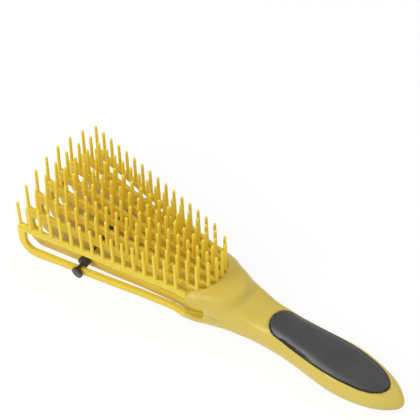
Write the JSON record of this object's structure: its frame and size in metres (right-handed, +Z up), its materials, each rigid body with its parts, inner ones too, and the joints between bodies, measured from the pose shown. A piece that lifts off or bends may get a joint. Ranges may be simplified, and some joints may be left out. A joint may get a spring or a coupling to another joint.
{
  "type": "detangling hairbrush",
  "caption": "Detangling brush with a fan of flexible slotted arms that carry rows of pins, a curved two-shell handle and a soft grip pad.",
  "frame": {"origin": "middle of the length and width, on the surface that the brush lies on", "axes": "+X from the arm tips towards the handle's end, +Y across the fan to the far side, +Z up, the way the pins point"},
  "size_m": [0.238, 0.07, 0.0534],
  "materials": {
    "yellow_plastic": "semi-gloss moulded yellow plastic",
    "grip_rubber": "soft matte dark grey overmould",
    "strand_rubber": "dark brown-grey rubber",
    "steel": "plain drawn steel"
  },
  "bodies": {
    "handle": {"upper_shell": "yellow_plastic", "lower_shell": "yellow_plastic", "grip_pad": "grip_rubber", "root_pin": "steel", "case_screws": "steel"},
    "strand": {"spacer_strand": "strand_rubber"},
    "arm_1": {"arm_1": "yellow_plastic", "pin_row_1": "yellow_plastic"},
    "arm_2": {"arm_2": "yellow_plastic", "pin_row_2": "yellow_plastic"},
    "arm_3": {"arm_3": "yellow_plastic", "pin_row_3": "yellow_plastic"},
    "arm_4": {"arm_4": "yellow_plastic", "pin_row_4": "yellow_plastic"},
    "arm_5": {"arm_5": "yellow_plastic", "pin_row_5": "yellow_plastic"},
    "arm_6": {"arm_6": "yellow_plastic", "pin_row_6": "yellow_plastic"},
    "arm_7": {"arm_7": "yellow_plastic", "pin_row_7": "yellow_plastic"},
    "arm_8": {"arm_8": "yellow_plastic", "pin_row_8": "yellow_plastic"}
  },
  "joints": [
    {"name": "arm_1_flex", "type": "hinge", "parent": "handle", "child": "arm_1", "pos_m": [0.00604, 0, 0.01131], "axis": [0, -1, 0], "range_deg": [0, 2.5], "stiffness_Nm_per_rad": 3},
    {"name": "arm_2_flex", "type": "hinge", "parent": "handle", "child": "arm_2", "pos_m": [0.00604, 0, 0.01131], "axis": [0, -1, 0], "range_deg": [0, 2.5], "stiffness_Nm_per_rad": 3},
    {"name": "arm_3_flex", "type": "hinge", "parent": "handle", "child": "arm_3", "pos_m": [0.00604, 0, 0.01131], "axis": [0, -1, 0], "range_deg": [0, 2.5], "stiffness_Nm_per_rad": 3},
    {"name": "arm_4_flex", "type": "hinge", "parent": "handle", "child": "arm_4", "pos_m": [0.00604, 0, 0.01131], "axis": [0, -1, 0], "range_deg": [0, 2.5], "stiffness_Nm_per_rad": 3},
    {"name": "arm_5_flex", "type": "hinge", "parent": "handle", "child": "arm_5", "pos_m": [0.00604, 0, 0.01131], "axis": [0, -1, 0], "range_deg": [0, 2.5], "stiffness_Nm_per_rad": 3},
    {"name": "arm_6_flex", "type": "hinge", "parent": "handle", "child": "arm_6", "pos_m": [0.00604, 0, 0.01131], "axis": [0, -1, 0], "range_deg": [0, 2.5], "stiffness_Nm_per_rad": 3},
    {"name": "arm_7_flex", "type": "hinge", "parent": "handle", "child": "arm_7", "pos_m": [0.00604, 0, 0.01131], "axis": [0, -1, 0], "range_deg": [0, 2.5], "stiffness_Nm_per_rad": 3},
    {"name": "arm_8_flex", "type": "hinge", "parent": "handle", "child": "arm_8", "pos_m": [0.00604, 0, 0.01131], "axis": [0, -1, 0], "range_deg": [0, 2.5], "stiffness_Nm_per_rad": 3},
    {"name": "strand_slide", "type": "slide", "parent": "handle", "child": "strand", "axis": [1, 0, 0], "range_m": [-0.001, 0.001]}
  ]
}
